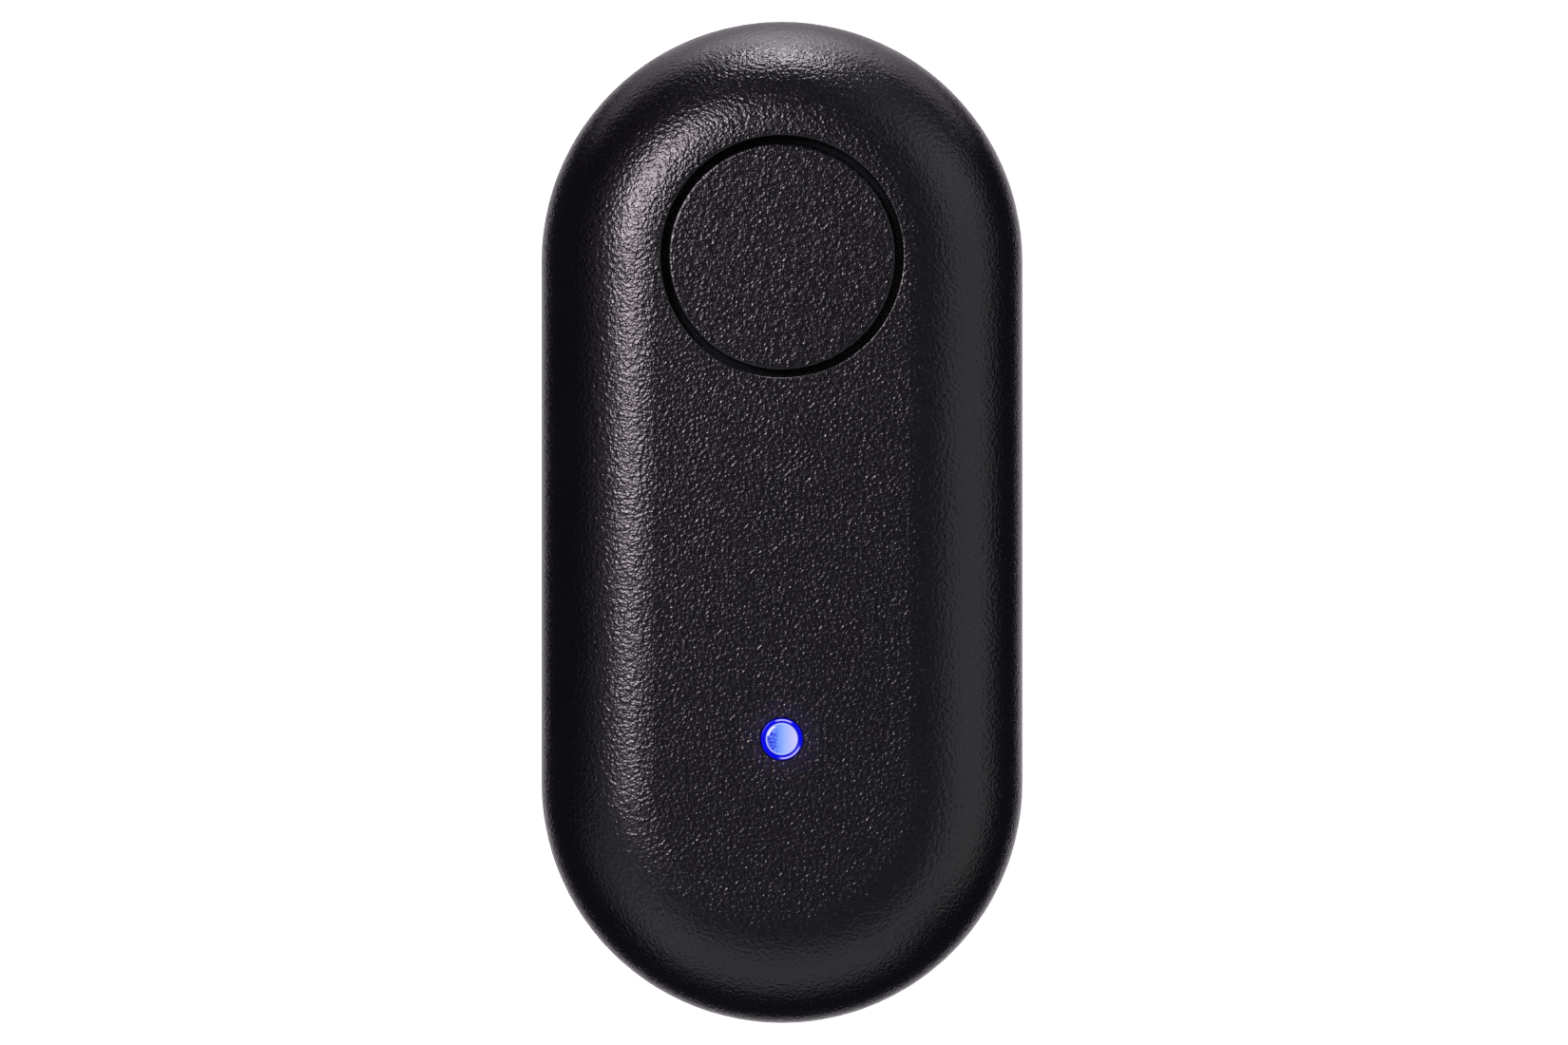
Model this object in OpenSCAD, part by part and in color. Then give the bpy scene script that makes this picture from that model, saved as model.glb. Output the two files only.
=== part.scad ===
// Bluetooth camera shutter remote: a pill-shaped housing lying on its back.
// Millimetres. X across, Y along with the button end at +Y, Z up.
// The origin is the middle of the flat back.

/* [Housing] */
// Room on each side of the cell, for its ring and the wall
side_room = 2.5; // [2.4:0.1:3]
// Distance between the middles of the two round ends
ends_apart = 27; // [26:0.5:33]
// Thickness from the back to the top face
body_t = 10; // [10:0.1:11.5]
// Flat left between the button's hole and the wide rounding round the top face
crown_margin = 0.35; // [0.3:0.05:0.8]
// Radius of the rounding round the back
base_r = 1.2; // [0.8:0.1:1.2]
// Wall of the sides and the top
wall = 1.5; // [1.3:0.1:1.6]
// Thickness of the back plate
floor_t = 1.5; // [1.4:0.1:1.7]
// Height of the line where the two shells meet
parting_z = 3.6; // [3.3:0.1:3.7]
// Width of the bevel on each shell along that line
parting_bevel = 0.15; // [0.05:0.05:0.2]
// Height of the lip that centres the top shell
lip_h = 1; // [0.6:0.1:1.2]
// Thickness of that lip
lip_t = 0.65; // [0.5:0.05:0.8]
// Gap between the lip and the top shell
lip_fit = 0.05; // [0.03:0.01:0.1]

/* [Shutter button] */
// Diameter of the button's face
button_d = 11.6; // [10:0.1:11.8]
// Gap between the button and the edge of its hole
button_gap = 0.35; // [0.2:0.05:0.4]
// How far the button's face lies below the top face
button_recess = 0.1; // [0:0.05:0.3]
// Travel of the button
button_travel = 0.3; // [0.15:0.05:0.35]
// Rounding of the button's upper edge
button_edge = 0.2; // [0.1:0.05:0.4]
// Rounding of the hole's edge
hole_edge = 0.1; // [0.05:0.05:0.3]
// Thickness of the button's face plate
button_plate = 1; // [0.8:0.1:1.2]
// Thickness of the button's skirt
button_skirt = 1; // [0.8:0.1:1.2]
// How far the retaining flange stands out past the skirt
flange_reach = 0.65; // [0.55:0.05:0.8]
// Thickness of the retaining flange
flange_t = 0.6; // [0.4:0.1:0.7]
// Diameter of the pin that presses the switch
press_d = 2.5; // [2:0.1:3]

/* [Status light] */
// Distance of the light guide from the middle of the cell
guide_offset = 3; // [0:0.5:4]
// Diameter of the light guide
guide_d = 2.2; // [1.8:0.1:2.6]
// Diameter of the lens in the middle of its visible end
guide_lens_d = 1.62; // [1:0.02:1.62]
// Depth of the groove round that lens
guide_groove_depth = 0.1; // [0.05:0.05:0.3]
// Width of that groove
guide_groove_w = 0.06; // [0.04:0.01:0.08]
// Rounding of its visible end
guide_edge = 0.12; // [0.06:0.02:0.12]
// Gap between the light guide and its hole
guide_fit = 0.03; // [0.02:0.01:0.06]
// How far its inner flange stands out
guide_flange = 0.6; // [0.4:0.1:0.8]
// Thickness of that flange
guide_flange_t = 0.5; // [0.3:0.1:0.6]

/* [Coin cell] */
// Diameter of the cell
cell_d = 20; // [18:0.1:22]
// Height of the cell
cell_h = 3.2; // [2.9:0.1:3.2]
// Gap between the cell and the ring that holds it
cell_fit = 0.15; // [0.1:0.05:0.25]
// Thickness of the sheet that the cell's can and cap are drawn from
cell_sheet = 0.25; // [0.2:0.05:0.3]

/* [Battery cover] */
// How much wider the cover is than the cell
cover_extra = 0.8; // [0.6:0.1:0.9]
// Gap between the cover and its opening
cover_gap = 0.1; // [0.05:0.05:0.15]
// How far the cover lies below the back
cover_recess = 0.1; // [0:0.05:0.2]
// Gap between the cover and what lies above it
cover_clear = 0.1; // [0.05:0.05:0.15]
// How far each lug stands out of the cover
lug_reach = 0.8; // [0.6:0.1:0.8]
// Thickness of each lug
lug_t = 0.6; // [0.4:0.1:0.6]
// Angle that each lug takes up
lug_angle = 30; // [20:1:34]
// Angle from locked to free
cover_turn = 45; // [40:1:50]
// Width of the coin slot
slot_w = 1.8; // [1.4:0.1:2.2]
// Length of the coin slot
slot_l = 13; // [10:0.5:15]
// Depth of the coin slot
slot_depth = 0.8; // [0.5:0.1:0.9]

/* [Circuit board] */
// Thickness of the board
board_t = 0.8; // [0.6:0.1:0.8]
// Room between the cell and the board for the spring contact
contact_room = 0.6; // [0.5:0.1:0.7]
// Gap between the board and the walls
board_gap = 0.4; // [0.3:0.1:0.7]
// Radius of the posts under the board
post_r = 1; // [0.9:0.1:1.2]
// Radius of the pins that place the board
pin_r = 0.5; // [0.4:0.05:0.6]

/* [Switch] */
// Side of the square switch
switch_w = 5.2; // [4.6:0.1:5.6]
// Height of the switch's housing
switch_h = 1.1; // [1:0.1:1.2]
// Radius of the well that holds its dome
well_r = 1.9; // [1.8:0.1:2]
// Radius of its plunger
plunger_r = 1; // [0.8:0.1:1.1]

/* [Screws] */
// Gap between the button's flange and the boss of the screw beside it
button_screw_gap = 0.35; // [0.3:0.05:0.5]
// Wall between the battery opening and the screw beside it
screw_web = 0.8; // [0.7:0.1:1.2]
// Radius of the thread
screw_r = 0.8; // [0.7:0.05:0.85]
// Radius of the head
head_r = 1.5; // [1.3:0.1:1.6]
// Thickness of the head
head_t = 1; // [0.8:0.1:1.1]
// Length under the head
screw_l = 6; // [4.5:0.5:6]

/* [Hidden] */
$fn = 128;
overrun = 0.5;

// Housing, worked out
half_w = cell_d / 2 + side_room;
end_y = ends_apart / 2;
crown_r = half_w - button_d / 2 - button_gap - crown_margin;
crown_z = body_t - crown_r;
ceiling_z = body_t - wall;
inner_w = half_w - wall;
inner_crown_r = crown_r - wall;
pocket_r = 0.6;
lip_top = parting_z + lip_h;

// Battery cover and its opening
cover_r = cell_d / 2 + cover_extra / 2;
cover_top = floor_t - cover_clear;
opening_r = cover_r + cover_gap;
lug_r = cover_r + lug_reach;
lug_top = cover_top;
groove_r = lug_r + cover_clear + cover_gap / 2;
ledge_t = lug_top - lug_t - cover_clear;
cover_edge = 0.2;
notch_slack_angle = 6;
notch_angle = lug_angle + notch_slack_angle;
notch_places = [30, 150, 270];
mark_angle = 90 + cover_turn / 2;
mark_r = 0.4;
mark_depth = 0.2;
cover_mark_inset = 1.3;
shell_mark_gap = 1;

// Coin cell and the ring round it
cell_r = cell_d / 2;
cell_z = cover_top + 2 * cover_clear;
cell_top = cell_z + cell_h;
ring_in_r = cell_r + cell_fit;
ring_seat = 0.65;
ring_out_r = groove_r + ring_seat;
can_h_share = 0.92;
can_foot_r = 0.4;
crimp_r = 0.55;
cap_r_share = 0.895;
cap_edge = 0.4;
cap_foot_share = 0.28;
crimp_gap = 0.2;
part_gap = 0.03;

// Screws and their bosses
head_recess = 0.3;
head_gap = 0.15;
thread_gap = 0.02;
shank_gap = 0.15;
cross_l = 1.7;
cross_w = 0.4;
cross_depth = 0.5;
tip_l = 0.5;
boss_wall = 0.65;
thread_wall = 0.68;
boss_r = screw_r + thread_gap + thread_wall;
boss_gap = 0.05;
boss_drop = 0.2;
boss_split = parting_z - boss_drop;
foot_boss_r = head_r + head_gap + boss_wall;

// Places along the housing, from the button and the screws to the cell and the light
flange_r = button_d / 2 + flange_reach;
screw_y = end_y + flange_r + button_screw_gap + boss_r;
cell_y = screw_y - head_r - head_gap - screw_web - groove_r;
guide_y = cell_y + guide_offset;

// Circuit board
board_z = cell_top + contact_room;
board_top = board_z + board_t;
board_w = half_w - crown_r - board_gap
    + sqrt(pow(inner_crown_r, 2) - pow(max(0, board_top - crown_z), 2));
board_boss_gap = 0.9;
board_end = screw_y - boss_r - board_boss_gap;
pin_fit = 0.05;
pin_proud = 0.3;
clamp_r = 0.7;
clamp_gap = 0.05;

// Places on the board, as shares of its half width and half length
mid_post_gap = 0.66;
mid_post_share = (ring_out_r + mid_post_gap - cell_y) / board_end;
pin_post_shares = [[0.75, mid_post_share], [-0.65, -0.92]];
clamp_post_shares = [[-0.75, mid_post_share], [0.65, -0.92], [0.7, 0.9], [-0.7, 0.9]];
chip_shares = [-0.32, -0.1];
crystal_shares = [0.42, -0.04];
capacitor_shares = [
    [0.12, 0.02], [0.12, -0.16], [0.3, -0.24], [0.55, -0.24],
    [-0.6, -0.33], [-0.35, -0.33], [-0.7, -0.06], [0.75, -0.12]
];
resistor_shares = [
    [0.3, -0.34], [0.3, -0.44], [-0.3, -0.42], [-0.5, -0.42], [0.35, 0.14], [-0.35, 0.14]
];

// Switch
switch_floor = 0.3;
switch_floor_z = board_top + switch_floor;
switch_lid_z = board_top + switch_h;
switch_lid_t = 0.15;
switch_lid_inset = 0.1;
switch_clip_w = 2;
touch_gap = 0.02;
dome_gap = 0.2;
dome_r = well_r - dome_gap;
dome_h = 0.4;
dome_t = 0.07;
dome_z = switch_floor_z + touch_gap;
dome_top = dome_z + dome_h;
collar_gap = 0.4;
collar_r = well_r - collar_gap;
stem_spare = 0.1;
stem_proud = button_travel + stem_spare;
stem_top = switch_lid_z + switch_lid_t + stem_proud;
lead_w = 0.7;
lead_t = 0.15;
lead_l = 0.9;

// Shutter button
button_r = button_d / 2;
hole_r = button_r + button_gap;
button_top = body_t - button_recess;
flange_gap = 0.1;
flange_top = ceiling_z - flange_gap;

// Status light
led_base = [2, 1.25, 0.3];
led_lens = [1.4, 1.1, 0.45];
led_top = board_top + led_base.z + led_lens.z;
guide_lift = 0.2;
guide_hole_r = guide_d / 2 + guide_fit;

// Small parts on the board
chip_size = [4.9, 3.9, 1.3];
chip_lift = 0.1;
chip_leads = 8;
chip_lead_pitch = 0.6;
chip_lead = [0.25, 0.9, 0.15];
chip_lead_z = 0.5;
crystal_size = [3.2, 2.5, 0.7];
capacitor_size = [1, 0.5, 0.5];
resistor_size = [1, 0.5, 0.35];
trace_t = 0.06;
trace_w = 0.5;
meander_legs = 8;
meander_pitch = 1.3;
meander_l = 2.6;
meander_inset = 0.6;

// Contacts of the cell
contact_t = 0.2;
clip_w = 3;
clip_gap = 0.08;
clip_slack = 0.3;
clip_foot_l = 2.8;
clip_low_share = 0.2;
spring_w = 2.6;
spring_base = 2;
spring_reach = 3.5;
spring_tip = 0.8;
spring_lift = 0.15;

// A quarter disc with its square corner at the origin
module quarter(r) {
    intersection() {
        circle(r = r);
        square(r);
    }
}

// Half of a section from the middle plane out, with its two outer edges rounded
module half_section(w, low, high, low_r, high_r) {
    translate([0, low + low_r])
        square([w, high - high_r - low - low_r]);
    if (high_r > 0) {
        translate([0, high - high_r])
            square([w - high_r, high_r]);
        translate([w - high_r, high - high_r])
            quarter(high_r);
    }
    if (low_r > 0) {
        translate([0, low])
            square([w - low_r, low_r]);
        translate([w - low_r, low + low_r])
            mirror([0, 1])
                quarter(low_r);
    }
}

// Turns a half section round both ends of the housing and runs it between them
module pill() {
    for (end = [0, 1])
        mirror([0, end, 0])
            translate([0, end_y, 0])
                rotate_extrude(angle = 180)
                    children();
    rotate([90, 0, 0])
        linear_extrude(height = 2 * end_y, center = true) {
            children();
            mirror([1, 0])
                children();
        }
}

// Half sections of the housing's outside, its hollow and the bevel at the parting line
module outer_half() {
    half_section(half_w, 0, body_t, base_r, crown_r);
}

module hollow_half() {
    half_section(inner_w, floor_t, ceiling_z, pocket_r, inner_crown_r);
}

module bevel_half() {
    polygon([
        [half_w - parting_bevel, parting_z], [half_w, parting_z + parting_bevel],
        [half_w + parting_bevel, parting_z], [half_w, parting_z - parting_bevel]
    ]);
}

// A cutter for a round hole whose upper edge is rounded, with that edge at height top
module round_hole(r, low, top, edge) {
    rotate_extrude() {
        translate([0, low])
            square([r, top + overrun - low]);
        difference() {
            translate([r, top - edge])
                square([edge, edge + overrun]);
            translate([r + edge, top - edge])
                circle(r = edge);
        }
    }
}

// A piece of ring between two radii, centred on the +X direction
module ring_piece(r_in, r_out, h, angle) {
    rotate(-angle / 2)
        rotate_extrude(angle = angle)
            translate([r_in, 0])
                square([r_out - r_in, h]);
}

// Places its children at each listed share of the board
module on_board(shares, z) {
    for (s = shares)
        translate([s.x * board_w, s.y * board_end, z])
            children();
}

// A block standing on its base
module block(size) {
    linear_extrude(height = size.z)
        square([size.x, size.y], center = true);
}

module at_both_screws() {
    for (end = [-1, 1])
        translate([0, end * screw_y, 0])
            children();
}

module top_shell() {
    color("#26252a")
    difference() {
        union() {
            pill()
                difference() {
                    outer_half();
                    hollow_half();
                    bevel_half();
                    translate([-overrun, -overrun])
                        square([half_w + 2 * overrun, parting_z + overrun]);
                    translate([-overrun, 0])
                        square([inner_w + lip_t + lip_fit + overrun, lip_top + lip_fit]);
                }
            at_both_screws()
                translate([0, 0, boss_split + boss_gap])
                    cylinder(r = boss_r, h = ceiling_z + wall / 3 - boss_split - boss_gap);
            on_board(clamp_post_shares, board_top + clamp_gap)
                cylinder(r = clamp_r, h = ceiling_z + wall / 3 - board_top - clamp_gap);
        }
        at_both_screws()
            cylinder(r = screw_r + thread_gap, h = head_recess + head_t + screw_l + tip_l);
        translate([0, end_y, 0])
            round_hole(hole_r, crown_z, body_t, hole_edge);
        translate([0, -guide_y, crown_z])
            cylinder(r = guide_hole_r, h = crown_r + overrun);
    }
}

module bottom_shell() {
    color("#222126")
    difference() {
        union() {
            pill()
                difference() {
                    outer_half();
                    hollow_half();
                    bevel_half();
                    translate([-overrun, parting_z])
                        square([half_w + 2 * overrun, body_t]);
                }
            pill()
                translate([inner_w, parting_z - lip_h])
                    square([lip_t, 2 * lip_h]);
            intersection() {
                translate([0, -cell_y, floor_t])
                    difference() {
                        cylinder(r = ring_out_r, h = lip_top - floor_t);
                        translate([0, 0, -overrun])
                            cylinder(r = ring_in_r, h = body_t);
                    }
                cube([2 * inner_w + lip_t, 2 * (end_y + half_w), 2 * body_t], center = true);
            }
            at_both_screws()
                translate([0, 0, floor_t / 2])
                    cylinder(r = foot_boss_r, h = boss_split - floor_t / 2);
            for (shares = [pin_post_shares, clamp_post_shares])
                on_board(shares, floor_t / 2)
                    cylinder(r = post_r, h = board_z - floor_t / 2);
            on_board(pin_post_shares, floor_t)
                cylinder(r = pin_r, h = board_top + pin_proud - floor_t);
        }
        translate([0, -cell_y, 0])
            cover_space();
        at_both_screws() {
            translate([0, 0, -overrun])
                cylinder(r = screw_r + shank_gap, h = body_t);
            translate([0, 0, -overrun])
                cylinder(r = head_r + head_gap, h = head_recess + head_t + overrun);
            translate([0, 0, boss_split])
                cylinder(r = boss_r + boss_gap, h = body_t);
        }
        // Way through the ring for the positive contact
        translate([-clip_w / 2 - clip_slack, cell_r - cell_y - clip_slack, floor_t])
            cube([clip_w + 2 * clip_slack, ring_out_r - cell_r + 2 * clip_slack, body_t]);
    }
}

// What the battery cover needs: its opening, the groove for the lugs and their notches
module cover_space() {
    translate([0, 0, -overrun])
        cylinder(r = opening_r, h = floor_t + overrun);
    translate([0, 0, ledge_t])
        cylinder(r = groove_r, h = floor_t - ledge_t);
    for (a = notch_places)
        rotate(a)
            translate([0, 0, -overrun])
                ring_piece(cell_r, groove_r, ledge_t + 2 * overrun, notch_angle);
    // A dot where the cover's mark lies when locked, and a ring where it lies when free
    rotate(mark_angle)
        translate([groove_r + shell_mark_gap, 0, -overrun])
            cylinder(r = mark_r, h = mark_depth + overrun);
    rotate(mark_angle - cover_turn)
        translate([groove_r + shell_mark_gap, 0, -overrun])
            difference() {
                cylinder(r = mark_r, h = mark_depth + overrun);
                cylinder(r = mark_r / 2, h = 2 * overrun);
            }
}

module battery_cover() {
    color("#222126")
    translate([0, -cell_y, 0])
    difference() {
        union() {
            rotate_extrude()
                half_section(cover_r, cover_recess, cover_top, cover_edge, 0);
            for (a = notch_places)
                rotate(a + cover_turn)
                    translate([0, 0, lug_top - lug_t])
                        ring_piece(cover_r / 2, lug_r, lug_t, lug_angle);
        }
        translate([0, 0, -overrun])
            linear_extrude(height = overrun + cover_recess + slot_depth) {
                square([slot_l - slot_w, slot_w], center = true);
                for (end = [0, 1])
                    mirror([end, 0])
                        translate([slot_l / 2 - slot_w / 2, 0])
                            intersection() {
                                circle(d = slot_w);
                                translate([0, -slot_w])
                                    square([slot_w, 2 * slot_w]);
                            }
            }
        rotate(mark_angle)
            translate([cover_r - cover_mark_inset, 0, 0])
                cylinder(r = mark_r, h = cover_recess + mark_depth);
    }
}

module housing_screws() {
    color("silver")
    at_both_screws()
        difference() {
            union() {
                rotate_extrude()
                    half_section(head_r, head_recess, head_recess + head_t, head_t / 4, 0);
                translate([0, 0, head_recess + head_t])
                    cylinder(r = screw_r, h = screw_l - tip_l);
                translate([0, 0, head_recess + head_t + screw_l - tip_l])
                    cylinder(r1 = screw_r, r2 = screw_r / 2, h = tip_l);
            }
            for (turn = [0, 90])
                rotate(turn)
                    block([cross_l, cross_w, head_recess + cross_depth]);
        }
}

module shutter_button() {
    color("#29282d")
    translate([0, end_y, 0])
    rotate_extrude() {
        difference() {
            union() {
                half_section(button_r, flange_top - flange_t, button_top, 0, button_edge);
                translate([0, flange_top - flange_t])
                    square([flange_r, flange_t]);
            }
            translate([0, flange_top - flange_t - overrun])
                square([button_r - button_skirt, button_top - button_plate - flange_top
                    + flange_t + overrun]);
        }
        translate([0, stem_top + touch_gap])
            square([press_d / 2, button_top - button_plate / 2 - stem_top - touch_gap]);
    }
}

module light_guide() {
    color("#8fb8ff")
    translate([0, -guide_y, 0])
    rotate_extrude() {
        difference() {
            half_section(guide_d / 2, led_top + guide_lift, body_t, 0, guide_edge);
            translate([guide_lens_d / 2, body_t - guide_groove_depth])
                square([guide_groove_w, guide_groove_depth + overrun]);
        }
        translate([0, ceiling_z - part_gap - guide_flange_t])
            square([guide_d / 2 + guide_flange, guide_flange_t]);
    }
}

module circuit_board() {
    color("#1e5b36")
    translate([0, 0, board_z])
    linear_extrude(height = board_t)
    difference() {
        union() {
            square([2 * board_w, 2 * end_y], center = true);
            for (end = [0, 1])
                mirror([0, end])
                    intersection() {
                        translate([0, end_y])
                            circle(r = board_w);
                        translate([-board_w, end_y])
                            square([2 * board_w, board_end - end_y]);
                    }
        }
        for (s = pin_post_shares)
            translate([s.x * board_w, s.y * board_end])
                circle(r = pin_r + pin_fit);
    }
}

module antenna_trace() {
    color("#b87333")
    translate([0, meander_inset + trace_w / 2 - board_end, board_top])
    linear_extrude(height = trace_t)
    for (leg = [0 : meander_legs - 1]) {
        translate([(leg - (meander_legs - 1) / 2) * meander_pitch, meander_l / 2])
            square([trace_w, meander_l + trace_w], center = true);
        if (leg < meander_legs - 1)
            translate([(leg + 1 - meander_legs / 2) * meander_pitch,
                leg % 2 == 0 ? meander_l : 0])
                square([meander_pitch, trace_w], center = true);
    }
}

module bluetooth_chip() {
    color("#1b1b1d")
    on_board([chip_shares], board_top + chip_lift)
        block([chip_size.x, chip_size.y, chip_size.z - chip_lift]);
}

// Gull-wing leads along the two long sides of the chip
module chip_leads() {
    color("silver")
    on_board([chip_shares], board_top)
        for (side = [-1, 1], n = [0 : chip_leads - 1])
            translate([(n - (chip_leads - 1) / 2) * chip_lead_pitch,
                side * (chip_size.y + chip_lead.y) / 2, 0])
                union() {
                    block(chip_lead);
                    translate([0, side * (chip_lead.z - chip_lead.y) / 2, 0])
                        block([chip_lead.x, chip_lead.z, chip_lead_z + chip_lead.z]);
                }
}

module crystal() {
    color("silver")
    on_board([crystal_shares], board_top)
        block(crystal_size);
}

module capacitors() {
    color("#9a7650")
    on_board(capacitor_shares, board_top)
        block(capacitor_size);
}

module resistors() {
    color("#1b1b1d")
    on_board(resistor_shares, board_top)
        block(resistor_size);
}

module led_base() {
    color("white")
    translate([0, -guide_y, board_top])
        block(led_base);
}

module led_lens() {
    color("#cfe0ff")
    translate([0, -guide_y, board_top + led_base.z])
        block(led_lens);
}

module switch_housing() {
    color("#1b1b1d")
    translate([0, end_y, board_top])
    difference() {
        block([switch_w, switch_w, switch_h]);
        translate([0, 0, switch_floor])
            cylinder(r = well_r, h = switch_h);
    }
}

module switch_cover() {
    color("silver")
    translate([0, end_y, switch_lid_z])
    difference() {
        union() {
            block([switch_w - 2 * switch_lid_inset, switch_w, switch_lid_t]);
            for (side = [-1, 1])
                translate([0, side * (switch_w + switch_lid_t) / 2, -switch_h / 2])
                    block([switch_clip_w, switch_lid_t, switch_h / 2 + switch_lid_t]);
        }
        translate([0, 0, -overrun])
            cylinder(r = plunger_r + part_gap, h = 2 * overrun);
    }
}

module switch_plunger() {
    color("#d9d6cf")
    translate([0, end_y, 0])
    rotate_extrude() {
        translate([0, dome_top + touch_gap])
            square([plunger_r, stem_top - dome_top - touch_gap]);
        translate([0, dome_top + touch_gap])
            square([collar_r, switch_lid_z - dome_top - 2 * touch_gap]);
    }
}

module switch_dome() {
    dome_curve_r = (pow(dome_r, 2) + pow(dome_h, 2)) / (2 * dome_h);
    color("#d8b45c")
    translate([0, end_y, dome_z])
    rotate_extrude()
    intersection() {
        translate([0, dome_h - dome_curve_r])
            difference() {
                circle(r = dome_curve_r);
                circle(r = dome_curve_r - dome_t);
            }
        square([well_r, dome_h + overrun]);
    }
}

module switch_leads() {
    color("silver")
    translate([0, end_y, board_top])
    for (side = [-1, 1], row = [-1, 1])
        translate([side * (switch_w + lead_l) / 2, row * (switch_w / 2 - lead_w), 0])
            block([lead_l, lead_w, lead_t]);
}

module cell_can() {
    can_top = cell_z + can_h_share * cell_h;
    color("silver")
    translate([0, -cell_y, 0])
    rotate_extrude()
    difference() {
        half_section(cell_r, cell_z, can_top, can_foot_r, crimp_r);
        half_section(cell_r - cell_sheet, cell_z + cell_sheet, can_top - cell_sheet,
            can_foot_r - cell_sheet, crimp_r - cell_sheet);
        translate([0, cell_z + cell_h / 2])
            square([cap_r_share * cell_r + crimp_gap, cell_h]);
    }
}

module cell_cap() {
    foot = cell_z + cap_foot_share * cell_h;
    color("#c9cacc")
    translate([0, -cell_y, 0])
    rotate_extrude()
    difference() {
        half_section(cap_r_share * cell_r, foot, cell_top, 0, cap_edge);
        half_section(cap_r_share * cell_r - cell_sheet, foot - overrun, cell_top - cell_sheet,
            0, cap_edge - cell_sheet);
    }
}

module cell_gasket() {
    gasket_in = cap_r_share * cell_r + part_gap;
    gasket_low = cell_z + can_foot_r;
    gasket_high = cell_z + can_h_share * cell_h - cell_sheet - part_gap;
    color("#3a3f45")
    translate([0, -cell_y, 0])
    rotate_extrude() {
        translate([gasket_in, gasket_low])
            square([cell_r - cell_sheet - part_gap - gasket_in, (gasket_high - gasket_low) / 2]);
        translate([gasket_in, gasket_low])
            square([cell_r - crimp_r - gasket_in, gasket_high - gasket_low]);
        translate([gasket_in, gasket_low])
            square([crimp_gap - 2 * part_gap, cell_z + can_h_share * cell_h - gasket_low]);
    }
}

module cell_electrodes() {
    stack_low = cell_z + cell_sheet + part_gap;
    color("#4b4d50")
    translate([0, -cell_y, stack_low])
        cylinder(r = cap_r_share * cell_r - cell_sheet - part_gap,
            h = cell_top - cap_edge - stack_low);
}

// A bent strip from the board's underside down the side of the can
module positive_contact() {
    near_y = cell_r + clip_gap - cell_y;
    clip_low = cell_z + clip_low_share * cell_h;
    color("silver")
    translate([-clip_w / 2, near_y, 0])
        union() {
            translate([0, 0, clip_low])
                cube([clip_w, contact_t, board_z - clip_low]);
            translate([0, 0, board_z - contact_t])
                cube([clip_w, clip_foot_l, contact_t]);
        }
}

// A strip under the board with two arms that press on the cell's cap
module negative_contact() {
    bend = cell_top + part_gap;
    under = [
        [spring_base, board_z - contact_t],
        [spring_base + spring_reach, bend],
        [spring_base + spring_reach + spring_tip, bend + spring_lift]
    ];
    over = [for (n = [len(under) - 1 : -1 : 0]) under[n] + [0, contact_t]];
    right = concat(under, over);
    left = [for (n = [len(right) - 1 : -1 : 0]) [-right[n].x, right[n].y]];
    color("silver")
    translate([0, spring_w / 2 - cell_y, 0])
    rotate([90, 0, 0])
    linear_extrude(height = spring_w)
        polygon(concat(right, left));
}

top_shell();
bottom_shell();
housing_screws();
battery_cover();
shutter_button();
light_guide();
circuit_board();
antenna_trace();
bluetooth_chip();
chip_leads();
crystal();
capacitors();
resistors();
led_base();
led_lens();
switch_housing();
switch_cover();
switch_plunger();
switch_dome();
switch_leads();
cell_can();
cell_cap();
cell_gasket();
cell_electrodes();
positive_contact();
negative_contact();
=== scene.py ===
import math

import bmesh
import bpy
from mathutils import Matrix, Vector


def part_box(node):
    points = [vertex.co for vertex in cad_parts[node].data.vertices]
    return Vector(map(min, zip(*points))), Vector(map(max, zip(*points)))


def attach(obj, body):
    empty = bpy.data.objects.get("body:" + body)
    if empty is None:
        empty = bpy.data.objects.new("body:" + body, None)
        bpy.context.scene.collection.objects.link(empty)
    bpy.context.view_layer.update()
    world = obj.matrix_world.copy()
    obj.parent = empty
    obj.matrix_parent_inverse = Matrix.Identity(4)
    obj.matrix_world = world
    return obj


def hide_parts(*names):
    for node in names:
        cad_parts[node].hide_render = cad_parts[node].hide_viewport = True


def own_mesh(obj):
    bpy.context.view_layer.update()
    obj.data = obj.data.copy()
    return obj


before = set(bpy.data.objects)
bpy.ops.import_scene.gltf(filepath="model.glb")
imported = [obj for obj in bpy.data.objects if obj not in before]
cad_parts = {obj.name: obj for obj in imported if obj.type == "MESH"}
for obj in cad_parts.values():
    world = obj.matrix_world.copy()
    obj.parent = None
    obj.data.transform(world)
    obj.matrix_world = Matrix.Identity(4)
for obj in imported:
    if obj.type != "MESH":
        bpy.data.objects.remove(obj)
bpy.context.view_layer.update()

# Bluetooth camera shutter remote, seen straight down on its upper face.
# Metres. X across, Y along with the button end at +Y, Z up.

MM = 0.001


def linear(hex_code):
    """A colour written as sRGB hex, turned to the linear colour that sockets take."""
    parts = [int(hex_code[i:i + 2], 16) / 255 for i in (1, 3, 5)]
    shades = [c / 12.92 if c <= 0.04045 else ((c + 0.055) / 1.055) ** 2.4 for c in parts]
    return (*shades, 1.0)


def add(tree, kind, inputs=None, stops=(), **settings):
    """Adds a node with its settings. An input is a value, or another node's output to
    link. The stops of a colour ramp are its positions and hex colours."""
    made = tree.nodes.new(kind)
    for name, value in settings.items():
        setattr(made, name, value)
    for name, value in (inputs or {}).items():
        if isinstance(value, bpy.types.NodeSocket):
            tree.links.new(value, made.inputs[name])
        else:
            made.inputs[name].default_value = value
    for n, (position, hex_code) in enumerate(stops):
        if n == len(made.color_ramp.elements):
            made.color_ramp.elements.new(1.0)
        made.color_ramp.elements[n].position = position
        made.color_ramp.elements[n].color = linear(hex_code)
    return made


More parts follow.
